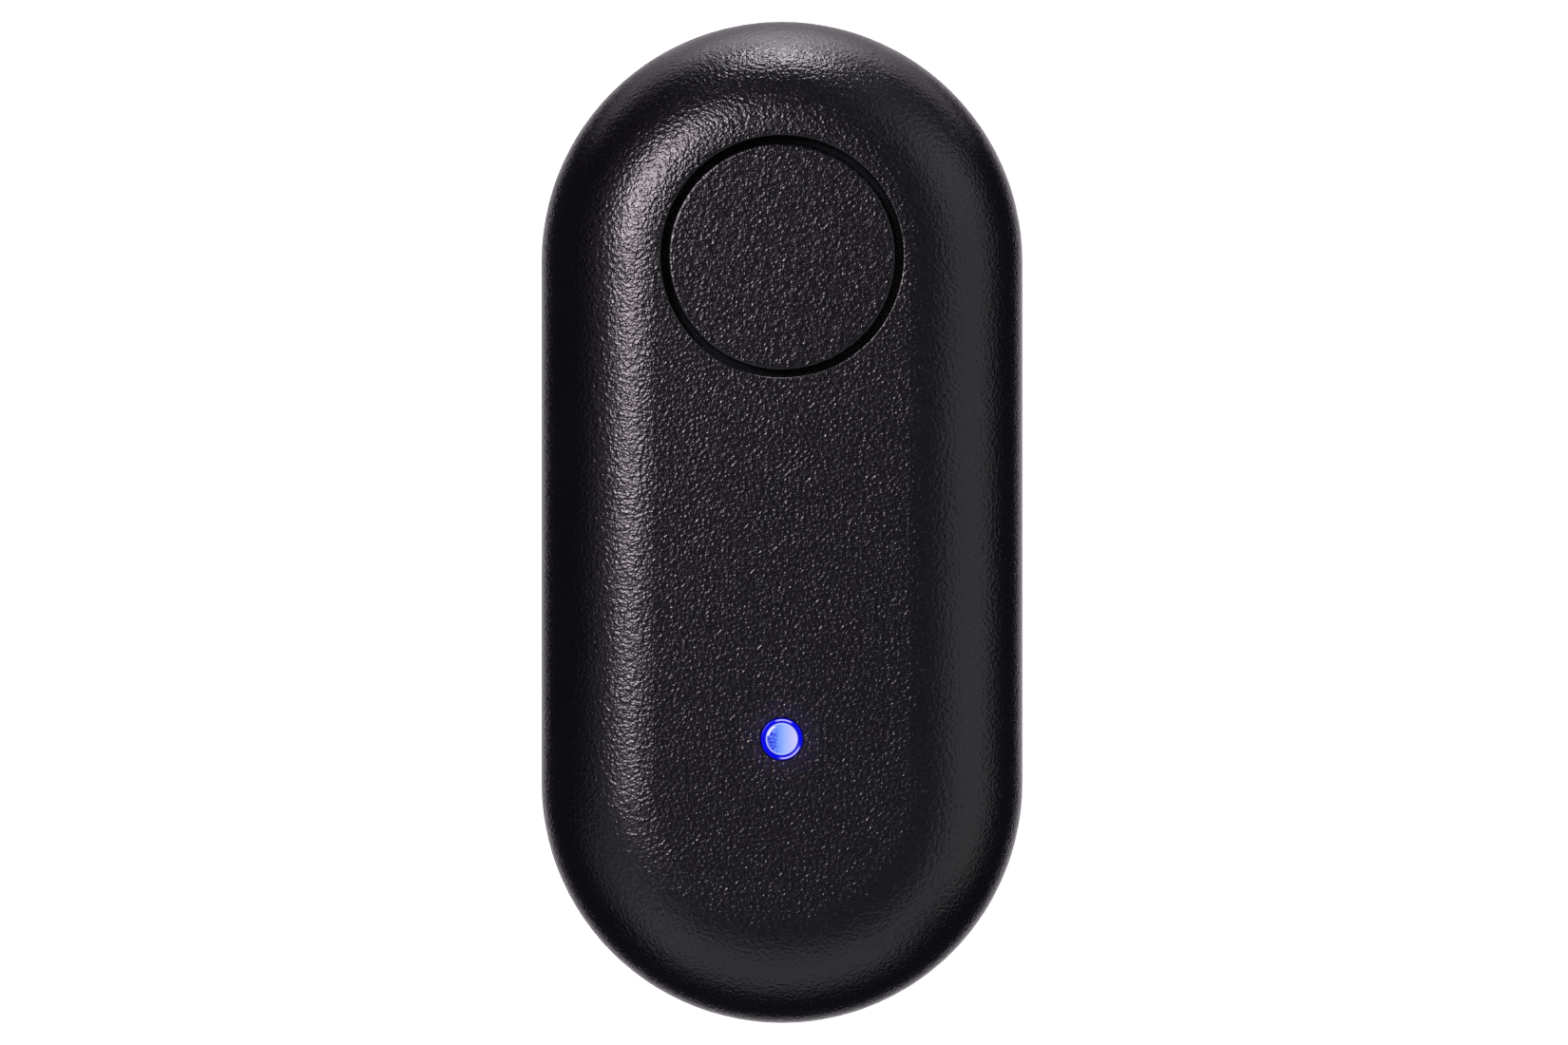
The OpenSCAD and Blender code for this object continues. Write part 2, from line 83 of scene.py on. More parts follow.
def new_finish(name):
    """A material with an empty node tree, and its coordinates in millimetres."""
    finish = bpy.data.materials.new(name)
    finish.use_nodes = True
    tree = finish.node_tree
    tree.nodes.clear()
    place = add(tree, "ShaderNodeTexCoord")
    place_mm = add(tree, "ShaderNodeVectorMath", {0: place.outputs["Object"], "Scale": 1 / MM},
                   operation="SCALE")
    return finish, tree, place_mm.outputs[0]


def distance_from(tree, mm, axis):
    """Distance in mm from an upright axis, given as its X and Y in mm."""
    offset = add(tree, "ShaderNodeVectorMath", {0: mm, 1: (axis[0], axis[1], 0)},
                 operation="SUBTRACT")
    level = add(tree, "ShaderNodeVectorMath", {0: offset.outputs[0], 1: (1, 1, 0)},
                operation="MULTIPLY")
    return add(tree, "ShaderNodeVectorMath", {0: level.outputs[0]},
               operation="LENGTH").outputs["Value"]


def towards(tree, mm, axis, bearing_deg):
    """How far a point lies from an upright axis towards a bearing, in mm."""
    turn = math.radians(bearing_deg)
    offset = add(tree, "ShaderNodeVectorMath", {0: mm, 1: (axis[0], axis[1], 0)},
                 operation="SUBTRACT")
    return add(tree, "ShaderNodeVectorMath",
               {0: offset.outputs[0], 1: (math.cos(turn), math.sin(turn), 0)},
               operation="DOT_PRODUCT").outputs["Value"]


def mask_where(tree, *spans):
    """A mask that is 1 where every value has reached the end of its span. It rises
    smoothly over each span, whose end may be lower than its start."""
    mask = None
    for value, start, end in spans:
        rise = add(tree, "ShaderNodeMapRange",
                   {"Value": value, "From Min": start, "From Max": end},
                   interpolation_type="SMOOTHSTEP").outputs[0]
        if mask is None:
            mask = rise
        else:
            mask = add(tree, "ShaderNodeMath", {0: mask, 1: rise}, operation="MULTIPLY").outputs[0]
    return mask


def arc_mask(tree, mm, axis, inner, outer, middle_deg, half_deg):
    """1 along an arc round an upright axis, from its two radii and its bearing."""
    reach = distance_from(tree, mm, axis)
    lean = add(tree, "ShaderNodeMath", {0: towards(tree, mm, axis, middle_deg), 1: reach},
               operation="DIVIDE")
    middle = (inner + outer) / 2
    return mask_where(tree, (reach, inner, middle), (reach, outer, middle),
                      (lean.outputs[0], math.cos(math.radians(half_deg)),
                       math.cos(math.radians(half_deg / 2))))


def upright_axis(low, high):
    """The upright axis through the middle of a CAD node's box, as its X and Y in mm."""
    return ((low.x + high.x) / 2 / MM, (low.y + high.y) / 2 / MM)


# Noise mostly lies between these two values
NOISE_LOW, NOISE_HIGH = 0.3, 0.7

guide_low, guide_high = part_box("light_guide")
light_axis = upright_axis(guide_low, guide_high)
# Radii of the light's end in mm: the whole end, the step inside its ring, and the lens
RING_R = 1.1
STEP_R = 0.87
LENS_R = 0.81

button_axis = upright_axis(*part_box("shutter_button"))
# Radii of the button and of its hole, and the strips on either side of the gap between
# them over which the grain fades, in mm
BUTTON_R = 5.8
HOLE_R = 6.15
BUTTON_FADE = 0.1
HOLE_FADE = 0.08
# Height from which the walls of the gap are smooth, and how far below it they begin to be
GAP_FOOT = 6
GAP_FADE = 1


# Finishes of the housing and its button

def spark_eroded_black_abs(name, base, worn, glow_from=None):
    """Black ABS moulded in a spark-eroded tool: a leathery grain of fine pits and
    ridges that breaks each highlight into sparkles. Round a status light at
    glow_from, a faint violet glow is painted on the plastic as emission."""
    finish, tree, mm = new_finish(name)
    # Grain pitch, which its one finer octave halves, depth of the pits, and the pitch of
    # the slow change in tone, all in mm
    grain_mm, relief_mm, flow_mm = 0.2, 0.046, 6.0
    pit_roughness, ridge_roughness = 0.28, 0.22
    # How far the painted violet glow reaches from the light's axis in mm, its strength,
    # and the part of the ridges' noise through which the painted glow comes in
    painted_glow_reach, painted_glow_strength = 2.4, 0.35
    ridges_with_painted_glow = (0.4, 0.65)
    ridges = add(tree, "ShaderNodeTexNoise",
                 {"Vector": mm, "Scale": 1 / grain_mm, "Detail": 1, "Roughness": 0.7})
    # The core pins that form the button's gap are polished, so its walls have no grain
    reach = distance_from(tree, mm, button_axis)
    height = add(tree, "ShaderNodeSeparateXYZ", {"Vector": mm}).outputs["Z"]
    in_gap = mask_where(tree, (reach, BUTTON_R - BUTTON_FADE, BUTTON_R),
                        (reach, HOLE_R + HOLE_FADE, HOLE_R),
                        (height, GAP_FOOT - GAP_FADE, GAP_FOOT))
    textured = add(tree, "ShaderNodeMath", {0: 1.0, 1: in_gap}, operation="SUBTRACT")
    bump = add(tree, "ShaderNodeBump",
               {"Height": ridges.outputs["Fac"], "Strength": textured.outputs[0],
                "Distance": relief_mm * MM})
    # Ridge tops are a little more polished than the pits
    polish = add(tree, "ShaderNodeMapRange",
                 {"Value": ridges.outputs["Fac"], "From Min": NOISE_LOW, "From Max": NOISE_HIGH,
                  "To Min": pit_roughness, "To Max": ridge_roughness})
    flow = add(tree, "ShaderNodeTexNoise", {"Vector": mm, "Scale": 1 / flow_mm, "Detail": 2})
    tone = add(tree, "ShaderNodeValToRGB", {"Fac": flow.outputs["Fac"]},
               stops=[(NOISE_LOW, base), (NOISE_HIGH, worn)])
    plastic = add(tree, "ShaderNodeBsdfPrincipled",
                  {"Base Color": tone.outputs["Color"], "Roughness": polish.outputs[0],
                   "Normal": bump.outputs[0], "IOR": 1.5})
    # A faint violet glow is painted on the ridges round the status light, as emission
    if glow_from:
        glow = mask_where(tree, (distance_from(tree, mm, glow_from), painted_glow_reach, RING_R),
                          (ridges.outputs["Fac"], *ridges_with_painted_glow))
        violet = add(tree, "ShaderNodeValToRGB", {"Fac": glow},
                     stops=[(0.0, "#000000"), (1.0, "#3a2c62")])
        tree.links.new(violet.outputs["Color"], plastic.inputs["Emission Color"])
        plastic.inputs["Emission Strength"].default_value = painted_glow_strength
    add(tree, "ShaderNodeOutputMaterial", {"Surface": plastic.outputs[0]})
    return finish


# Status light

def lit_acrylic(name, axis):
    """Clear acrylic lit from below by a blue LED: a pale lens in a deep blue ring, with
    highlights of the lamps painted into its glow at the lens's edge and on the ring."""
    finish, tree, mm = new_finish(name)
    reach = distance_from(tree, mm, axis)
    reach_share = add(tree, "ShaderNodeMath", {0: reach, 1: RING_R}, operation="DIVIDE").outputs[0]
    ring = add(tree, "ShaderNodeValToRGB", {"Fac": reach_share},
               stops=[(0.74, "#0000c0"), (0.8, "#0000d8"), (0.88, "#0606f0"), (0.93, "#0606dc"),
                      (0.96, "#04049c"), (0.985, "#02024a"), (1.0, "#010124")])
    across = towards(tree, mm, axis, 0)
    across_share = add(tree, "ShaderNodeMapRange",
                       {"Value": across, "From Min": -LENS_R, "From Max": LENS_R}).outputs[0]
    lens = add(tree, "ShaderNodeValToRGB", {"Fac": across_share},
               stops=[(0.1, "#3c54f0"), (0.28, "#4f70fa"), (0.44, "#7a9ffa"), (0.6, "#9db6ff"),
                      (0.76, "#b8bdfc"), (0.95, "#d2caf8")]).outputs["Color"]
    # Pitch of the moulded face's mottle, of its dark specks and of its frosting, and the
    # frosting's depth, in mm
    mottle_mm, speck_mm, frost_mm, relief_mm = 0.07, 0.08, 0.06, 0.003
    # The mottle and the specks each come in towards -X between two distances in mm, and
    # show where their noise rises through a range
    mottle_across, mottle_range = (0.1, -0.4), (0.52, 0.66)
    speck_across, speck_range = (-0.1, -0.5), (0.47, 0.55)
    # Painted highlights of the lamps, each an arc by two radii in mm, its bearing and half its
    # angle
    lens_painted_highlight = (0.62, 0.82, 143, 30)
    ring_painted_glint_top = (0.91, 1.02, 84, 30)
    ring_painted_glint_foot = (0.92, 1.04, -60, 42)
    # Radii between which the lens pales towards its edge, and the blur of that edge
    pale_from, pale_to = 0.72, 0.78
    edge_blur = 0.02
    mottle = add(tree, "ShaderNodeTexNoise", {"Vector": mm, "Scale": 1 / mottle_mm, "Detail": 2})
    specks = add(tree, "ShaderNodeTexNoise", {"Vector": mm, "Scale": 1 / speck_mm, "Detail": 1})
    mottled = mask_where(tree, (across, *mottle_across), (mottle.outputs["Fac"], *mottle_range))
    specked = mask_where(tree, (across, *speck_across), (specks.outputs["Fac"], *speck_range))
    paled = mask_where(tree, (reach, pale_from, pale_to))
    # A curved painted highlight of the key lamp at the lens's upper left
    painted_lens_highlight_mask = arc_mask(tree, mm, axis, *lens_painted_highlight)
    # Each colour lies over the lens where its mask is, the last, a painted highlight, on top
    for mask, tone in ((mottled, "#9cc4ff"), (specked, "#1418c8"), (paled, "#b9c6ff"),
                       (painted_lens_highlight_mask, "#f4f8ff")):
        lens = add(tree, "ShaderNodeMix", {"Factor": mask, "A": lens, "B": linear(tone)},
                   data_type="RGBA").outputs["Result"]
    outside_lens = mask_where(tree, (reach, LENS_R - edge_blur, LENS_R + edge_blur))
    lit = add(tree, "ShaderNodeMix",
              {"Factor": outside_lens, "A": lens, "B": ring.outputs["Color"]},
              data_type="RGBA").outputs["Result"]
    # Painted highlights of the lamps on the ring's moulded edge
    for glint in (ring_painted_glint_top, ring_painted_glint_foot):
        painted_glint_mask = arc_mask(tree, mm, axis, *glint)
        lit = add(tree, "ShaderNodeMix", {"Factor": painted_glint_mask, "A": lit, "B": linear("#d8d0ff")},
                  data_type="RGBA").outputs["Result"]
    frost = add(tree, "ShaderNodeTexNoise", {"Vector": mm, "Scale": 1 / frost_mm, "Detail": 2})
    bump = add(tree, "ShaderNodeBump",
               {"Height": frost.outputs["Fac"], "Strength": 0.5, "Distance": relief_mm * MM})
    haze = add(tree, "ShaderNodeMapRange",
               {"Value": frost.outputs["Fac"], "From Min": NOISE_LOW, "From Max": NOISE_HIGH,
                "To Min": 0.14, "To Max": 0.22})
    dim = add(tree, "ShaderNodeValToRGB", {"Fac": reach_share},
              stops=[(0.72, "#10163c"), (0.76, "#02020c")])
    acrylic = add(tree, "ShaderNodeBsdfPrincipled",
                  {"Base Color": dim.outputs["Color"], "Roughness": haze.outputs[0],
                   # Reflections are kept weak, as the painted highlights in the glow stand in for
                   # them
                   "Normal": bump.outputs[0], "IOR": 1.49, "Specular IOR Level": 0.15,
                   "Emission Color": lit, "Emission Strength": 1.0})
    add(tree, "ShaderNodeOutputMaterial", {"Surface": acrylic.outputs[0]})
    return finish


def turned_profile(name, axis, profile_mm, finish, steps=96):
    """A solid turned about an upright axis, from (radius, height) points that start
    and end on the axis."""
    shape = bmesh.new()
    rings = []
    for radius, height in profile_mm:
        count = steps if radius > 0 else 1
        turns = [2 * math.pi * n / steps for n in range(count)]
        rings.append([shape.verts.new(((axis[0] + radius * math.cos(t)) * MM,
                                       (axis[1] + radius * math.sin(t)) * MM, height * MM))
                      for t in turns])
    for below, above in zip(rings, rings[1:]):
        for n in range(steps):
            corners = [below[n % len(below)], below[(n + 1) % len(below)],
                       above[(n + 1) % len(above)], above[n % len(above)]]
            shape.faces.new(list(dict.fromkeys(corners)))
    bmesh.ops.recalc_face_normals(shape, faces=shape.faces)
    mesh = bpy.data.meshes.new(name)
    shape.to_mesh(mesh)
    shape.free()
    mesh.materials.append(finish)
    for face in mesh.polygons:
        face.use_smooth = True
    turned = bpy.data.objects.new(name, mesh)
    bpy.context.scene.collection.objects.link(turned)
    return turned


def quarter(centre, radius, height, start_deg, end_deg, steps=6):
    """Points of an elliptical arc in a (radius, height) profile."""
    turns = [math.radians(start_deg + (end_deg - start_deg) * n / steps) for n in range(steps + 1)]
    return [(centre[0] + radius * math.cos(t), centre[1] + height * math.sin(t)) for t in turns]


def status_light_guide(finish):
    """The moulded light guide: a flanged rod, whose end is a small lens in a rounded ring."""
    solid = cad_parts["light_guide"].data
    foot, end = guide_low.z / MM, guide_high.z / MM
    flange_r = (guide_high.x - guide_low.x) / 2 / MM
    # The solid's points at least this far out are on its flange
    near_rim_share = 0.98
    flange_heights = [v.co.z / MM for v in solid.vertices
                      if math.hypot(v.co.x / MM - light_axis[0], v.co.y / MM - light_axis[1])
                      > near_rim_share * flange_r]
    flange_foot, flange_top = min(flange_heights), max(flange_heights)
    # Bevels of the rod and flange, rounding of the ring, depth of the step, and the lens's
    # crown and rounding, all in mm
    edge = 0.05
    ring_edge = 0.11
    step_depth = 0.1
    crown = 0.035
    lens_edge = 0.04
    profile = [(0, foot), (RING_R - edge, foot), (RING_R, foot + edge),
               (RING_R, flange_foot), (flange_r - edge, flange_foot),
               (flange_r, flange_foot + edge), (flange_r, flange_top - edge),
               (flange_r - edge, flange_top), (RING_R, flange_top)]
    profile += quarter((RING_R - ring_edge, end - ring_edge), ring_edge, ring_edge, 0, 90)
    profile += quarter((STEP_R + step_depth / 2, end - step_depth / 2), step_depth / 2,
                       step_depth / 2, 90, 180, 4)
    profile += [(STEP_R, end - step_depth), (LENS_R, end - step_depth)]
    profile += quarter((LENS_R - lens_edge, end - crown - lens_edge), lens_edge, lens_edge,
                       0, 90, 4)
    crown_shares = (0.75, 0.5, 0.25, 0)
    profile += [((LENS_R - lens_edge) * s, end - crown * s * s) for s in crown_shares]
    guide = turned_profile("status_light_guide", light_axis, profile, finish)
    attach(guide, "housing")
    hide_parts("light_guide")


status_light_guide(lit_acrylic("lit_clear_acrylic", light_axis))


# Finishes of the fasteners and of the pieces inside

def fine_grained(name, tones, grain_mm, relief_mm, roughness, metallic=0.0, stretch=(1, 1, 1),
                 ior=1.5):
    """A finish whose tone, roughness and relief all follow one grain. The grain runs
    along the axis that stretch makes longest."""
    finish, tree, mm = new_finish(name)
    laid = add(tree, "ShaderNodeMapping", {"Vector": mm, "Scale": tuple(1 / s for s in stretch)})
    grain = add(tree, "ShaderNodeTexNoise",
                {"Vector": laid.outputs[0], "Scale": 1 / grain_mm, "Detail": 3, "Roughness": 0.6})
    gap = (NOISE_HIGH - NOISE_LOW) / (len(tones) - 1)
    tone = add(tree, "ShaderNodeValToRGB", {"Fac": grain.outputs["Fac"]},
               stops=[(NOISE_LOW + gap * n, t) for n, t in enumerate(tones)])
    polish = add(tree, "ShaderNodeMapRange",
                 {"Value": grain.outputs["Fac"], "From Min": NOISE_LOW, "From Max": NOISE_HIGH,
                  "To Min": roughness[0], "To Max": roughness[1]})
    bump = add(tree, "ShaderNodeBump",
               {"Height": grain.outputs["Fac"], "Strength": 1.0, "Distance": relief_mm * MM})
    surface = add(tree, "ShaderNodeBsdfPrincipled",
                  {"Base Color": tone.outputs["Color"], "Roughness": polish.outputs[0],
                   "Metallic": metallic, "Normal": bump.outputs[0], "IOR": ior})
    add(tree, "ShaderNodeOutputMaterial", {"Surface": surface.outputs[0]})
    return finish


def zinc_plated_steel():
    """Steel screws turned and zinc plated: cool grey with a faint blue-yellow cast and
    fine turning marks."""
    return fine_grained("zinc_plated_steel", ["#8f959c", "#c3c7cb", "#d8d4c2"],
                        grain_mm=0.12, relief_mm=0.003, roughness=(0.38, 0.24),
                        metallic=1.0, stretch=(1, 1, 0.2))


def tin_plate():
    """Tinned brass and steel as reflowed: pale satin metal with a crystal mottle."""
    return fine_grained("reflowed_tin_plate", ["#b9b9b6", "#d6d6d2", "#e6e4de"],
                        grain_mm=0.2, relief_mm=0.002, roughness=(0.42, 0.28), metallic=1.0)


def spring_bronze():
    """Rolled phosphor bronze strip: warm metal with rolling lines along X."""
    return fine_grained("rolled_phosphor_bronze", ["#b3814b", "#c99a62", "#d9b27c"],
                        grain_mm=0.08, relief_mm=0.0015, roughness=(0.36, 0.22),
                        metallic=1.0, stretch=(8, 1, 1))


def gilded_copper():
    """Immersion gold over a copper trace: a soft yellow metal over the laminate's weave."""
    return fine_grained("immersion_gold_copper", ["#c9913f", "#dcae5c", "#e8c57d"],
                        grain_mm=0.15, relief_mm=0.003, roughness=(0.4, 0.3), metallic=1.0)


def moulded_epoxy():
    """Glass-filled black epoxy as moulded round chips: dull charcoal with fine pits."""
    return fine_grained("moulded_black_epoxy", ["#141416", "#1e1e20", "#29292b"],
                        grain_mm=0.06, relief_mm=0.006, roughness=(0.68, 0.5))


def fired_titanate():
    """Capacitor ceramic fired from barium titanate: tan, dense and slightly waxy."""
    return fine_grained("fired_barium_titanate", ["#7d5f40", "#94734f", "#a7875f"],
                        grain_mm=0.05, relief_mm=0.002, roughness=(0.5, 0.38), ior=1.6)


def glazed_resistor():
    """Thick-film resistors under a dark glaze: near-black glass with faint pits."""
    return fine_grained("glazed_thick_film", ["#0e0f12", "#17181c", "#22242a"],
                        grain_mm=0.07, relief_mm=0.002, roughness=(0.32, 0.2), ior=1.55)


def white_polyamide():
    """The LED's reflector body, moulded in white-filled polyamide."""
    return fine_grained("white_filled_polyamide", ["#dcdad2", "#e8e6df", "#f2f1ec"],
                        grain_mm=0.08, relief_mm=0.003, roughness=(0.5, 0.4))


def natural_nylon():
    """The switch's plunger, moulded in uncoloured nylon: ivory with a silky skin."""
    return fine_grained("natural_nylon", ["#cfc6b0", "#ddd5c2", "#e9e3d3"],
                        grain_mm=0.12, relief_mm=0.002, roughness=(0.42, 0.32))


def polypropylene_seal():
    """The cell's seal, moulded in grey polypropylene: dull and slightly greasy."""
    return fine_grained("polypropylene_seal", ["#2b2f33", "#363b40", "#444a50"],
                        grain_mm=0.1, relief_mm=0.003, roughness=(0.5, 0.36))


def pressed_pellet():
    """Pressed manganese dioxide powder: black and grainy."""
    return fine_grained("pressed_oxide_pellet", ["#151416", "#201f21", "#302e2f"],
                        grain_mm=0.06, relief_mm=0.012, roughness=(0.9, 0.75))


def green_solder_mask():
    """Glass laminate under green solder mask: the 0.3 mm weave shows through a glossy
    lacquer."""
    finish, tree, mm = new_finish("green_solder_mask")
    # Pitch of the weave and of the lacquer's ripple, and the relief of the weave, in mm
    weave_mm, ripple_mm, relief_mm = 0.3, 0.8, 0.004
    # At a scale of 1, bands repeat every 0.314 units
    weave_scale = 0.314 / weave_mm
    warp = add(tree, "ShaderNodeTexWave", {"Vector": mm, "Scale": weave_scale, "Distortion": 0.4},
               bands_direction="X")
    weft = add(tree, "ShaderNodeTexWave", {"Vector": mm, "Scale": weave_scale, "Distortion": 0.4},
               bands_direction="Y")
    weave = add(tree, "ShaderNodeMath", {0: warp.outputs["Fac"], 1: weft.outputs["Fac"]},
                operation="MULTIPLY").outputs[0]
    tone = add(tree, "ShaderNodeValToRGB", {"Fac": weave},
               stops=[(0.0, "#083b1d"), (0.5, "#0c4b27"), (1.0, "#126035")])
    ripple = add(tree, "ShaderNodeTexNoise", {"Vector": mm, "Scale": 1 / ripple_mm, "Detail": 2})
    polish = add(tree, "ShaderNodeMapRange",
                 {"Value": ripple.outputs["Fac"], "From Min": NOISE_LOW, "From Max": NOISE_HIGH,
                  "To Min": 0.22, "To Max": 0.34})
    bump = add(tree, "ShaderNodeBump",
               {"Height": weave, "Strength": 1.0, "Distance": relief_mm * MM})
    mask = add(tree, "ShaderNodeBsdfPrincipled",
               {"Base Color": tone.outputs["Color"], "Roughness": polish.outputs[0],
                "Normal": bump.outputs[0], "IOR": 1.52, "Coat Weight": 0.4,
                "Coat Roughness": 0.15})
    add(tree, "ShaderNodeOutputMaterial", {"Surface": mask.outputs[0]})
    return finish


def cell_steel():
    """Nickel-plated stainless steel, deep drawn: bright satin with fine drawing rings
    about the cell's axis."""
    finish, tree, mm = new_finish("nickel_plated_drawn_steel")
    # Pitch of the drawing rings and of the smears on them, and the rings' relief, in mm
    ring_mm, smear_mm, relief_mm = 0.1, 3.0, 0.0015
    reach = distance_from(tree, mm, upright_axis(*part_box("cell_can")))
    rings = add(tree, "ShaderNodeTexNoise", {"W": reach, "Scale": 1 / ring_mm, "Detail": 2},
                noise_dimensions="1D")
    smears = add(tree, "ShaderNodeTexNoise", {"Vector": mm, "Scale": 1 / smear_mm, "Detail": 3})
    tone = add(tree, "ShaderNodeValToRGB", {"Fac": smears.outputs["Fac"]},
               stops=[(0.3, "#b4b5b6"), (0.55, "#cbcbca"), (0.75, "#d9d7d2")])
    polish = add(tree, "ShaderNodeMapRange",
                 {"Value": smears.outputs["Fac"], "From Min": NOISE_LOW, "From Max": NOISE_HIGH,
                  "To Min": 0.32, "To Max": 0.2})
    bump = add(tree, "ShaderNodeBump",
               {"Height": rings.outputs["Fac"], "Strength": 1.0, "Distance": relief_mm * MM})
    steel = add(tree, "ShaderNodeBsdfPrincipled",
                {"Base Color": tone.outputs["Color"], "Metallic": 1.0,
                 "Roughness": polish.outputs[0], "Normal": bump.outputs[0]})
    add(tree, "ShaderNodeOutputMaterial", {"Surface": steel.outputs[0]})
    return finish


def blue_led_resin():
    """Cast clear epoxy over a blue die: it glows from its middle."""
    finish, tree, mm = new_finish("cast_led_resin")
    flow_mm = 0.2
    reach = distance_from(tree, mm, upright_axis(*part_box("led_lens")))
    glow = add(tree, "ShaderNodeValToRGB", {"Fac": reach},
               stops=[(0.0, "#dfe6ff"), (0.35, "#5a78ff"), (0.8, "#0c12c8")]).outputs["Color"]
    cast = add(tree, "ShaderNodeTexNoise", {"Vector": mm, "Scale": 1 / flow_mm, "Detail": 2})
    polish = add(tree, "ShaderNodeMapRange",
                 {"Value": cast.outputs["Fac"], "From Min": NOISE_LOW, "From Max": NOISE_HIGH,
                  "To Min": 0.1, "To Max": 0.2})
    resin = add(tree, "ShaderNodeBsdfPrincipled",
                {"Base Color": glow, "Roughness": polish.outputs[0], "IOR": 1.53,
                 "Emission Color": glow, "Emission Strength": 1.0})
    add(tree, "ShaderNodeOutputMaterial", {"Surface": resin.outputs[0]})
    return finish


housing_abs = spark_eroded_black_abs("spark_eroded_black_abs", "#050409", "#08070d")
abs_with_painted_glow = spark_eroded_black_abs("spark_eroded_black_abs_with_painted_glow", "#050409", "#08070d",
                                 light_axis)
tinned = tin_plate()
bronze = spring_bronze()
epoxy = moulded_epoxy()
drawn_steel = cell_steel()
finish_of = {
    "top_shell": abs_with_painted_glow,
    "bottom_shell": housing_abs,
    "battery_cover": housing_abs,
    "shutter_button": housing_abs,
    "housing_screws": zinc_plated_steel(),
    "circuit_board": green_solder_mask(),
    "antenna_trace": gilded_copper(),
    "bluetooth_chip": epoxy,
    "chip_leads": tinned,
    "crystal": tinned,
    "capacitors": fired_titanate(),
    "resistors": glazed_resistor(),
    "led_base": white_polyamide(),
    "led_lens": blue_led_resin(),
    "switch_housing": epoxy,
    "switch_cover": tinned,
    "switch_plunger": natural_nylon(),
    "switch_dome": bronze,
    "switch_leads": tinned,
    "cell_can": drawn_steel,
    "cell_cap": drawn_steel,
    "cell_gasket": polypropylene_seal(),
    "cell_electrodes": pressed_pellet(),
    "positive_contact": bronze,
    "negative_contact": bronze,
}
for node, finish in finish_of.items():
    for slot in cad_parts[node].material_slots:
        slot.material = finish


def snap_dome(finish):
    """The switch's sprung dome, stamped from thin strip, which flattens under the plunger in use.
    It is built in its rest shape only.
    """
    low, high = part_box("switch_dome")
    radius, foot = (high.x - low.x) / 2 / MM, low.z / MM
    rise = (high.z - low.z) / MM
    strip_mm = 0.07
    steps = 12
    curve = (radius ** 2 + rise ** 2) / (2 * rise)
    middle = foot + rise - curve
    profile = []
    # Out along the inside of the strip, and back in along its outside
    for ball, turns in ((curve - strip_mm, range(steps + 1)), (curve, range(steps, -1, -1))):
        lean = math.acos((curve - rise) / ball)
        profile += [(ball * math.sin(lean * n / steps), middle + ball * math.cos(lean * n / steps))
                    for n in turns]
    dome = turned_profile("snap_dome", upright_axis(low, high), profile, finish)
    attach(dome, "housing")
    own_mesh(dome)
    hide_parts("switch_dome")


snap_dome(bronze)


# Floor, lights and camera

# Every light faces the middle of the remote from this distance, both in mm
AIM = Vector((0, 0, 5))
STAND_OFF = 600


def softbox(name, bearing_deg, tilt_deg, across_mm, along_mm, radiance, tone):
    """A soft rectangular light. Its bearing is turned from +X towards +Y, and its tilt is
    measured from overhead. across is its level side, and along runs up towards overhead."""
    bearing, tilt = math.radians(bearing_deg), math.radians(tilt_deg)
    away = Vector((math.sin(tilt) * math.cos(bearing), math.sin(tilt) * math.sin(bearing),
                   math.cos(tilt)))
    lamp = bpy.data.lights.new(name, "AREA")
    lamp.shape = "RECTANGLE"
    lamp.size = across_mm * MM
    lamp.size_y = along_mm * MM
    # A flat lamp of radiance L and area A gives off pi * L * A watts
    lamp.energy = math.pi * radiance * lamp.size * lamp.size_y
    lamp.color = linear(tone)[:3]
    box = bpy.data.objects.new(name, lamp)
    bpy.context.scene.collection.objects.link(box)
    box.location = (AIM + away * STAND_OFF) * MM
    box.rotation_euler = (-away).to_track_quat("-Z", "Y").to_euler()
    # Low views would otherwise show the lamps behind the remote
    box.visible_camera = False


def white_paper(name, grey, mirrored, fade=None):
    """White paper that stays white to the camera, with the object's shadow on it. Its
    grey lights the object from below, and mirrored is what glossy surfaces show of it,
    which fades between two distances from a point where fade gives them."""
    finish, tree, mm = new_finish(name)
    # Pitch of the fibres in mm, and the glow that keeps the sheet white to the camera
    fibre_mm, own_light = 0.4, 0.8
    ray = add(tree, "ShaderNodeLightPath")
    fibre = add(tree, "ShaderNodeTexNoise", {"Vector": mm, "Scale": 1 / fibre_mm, "Detail": 2})
    sheet = add(tree, "ShaderNodeValToRGB", {"Fac": fibre.outputs["Fac"]},
                stops=[(NOISE_LOW, "#ecebea"), (NOISE_HIGH, "#f4f4f3")])
    lit = add(tree, "ShaderNodeBsdfDiffuse", {"Color": sheet.outputs["Color"]})
    white = add(tree, "ShaderNodeEmission", {"Strength": own_light})
    seen = add(tree, "ShaderNodeAddShader", {0: lit.outputs[0], 1: white.outputs[0]})
    dim = add(tree, "ShaderNodeBsdfDiffuse", {"Color": (grey, grey, grey, 1)})
    strength = add(tree, "ShaderNodeMath", {0: ray.outputs["Is Glossy Ray"], 1: mirrored},
                   operation="MULTIPLY")
    level = strength.outputs[0]
    if fade:
        point, full, gone = fade
        near = mask_where(tree, (distance_from(tree, mm, point), gone, full))
        level = add(tree, "ShaderNodeMath", {0: level, 1: near}, operation="MULTIPLY").outputs[0]
    mirror = add(tree, "ShaderNodeEmission", {"Color": linear("#f8f0fa"), "Strength": level})
    unseen = add(tree, "ShaderNodeAddShader", {0: dim.outputs[0], 1: mirror.outputs[0]})
    both = add(tree, "ShaderNodeMixShader",
               {"Fac": ray.outputs["Is Camera Ray"], 1: unseen.outputs[0], 2: seen.outputs[0]})
    add(tree, "ShaderNodeOutputMaterial", {"Surface": both.outputs[0]})
    return finish


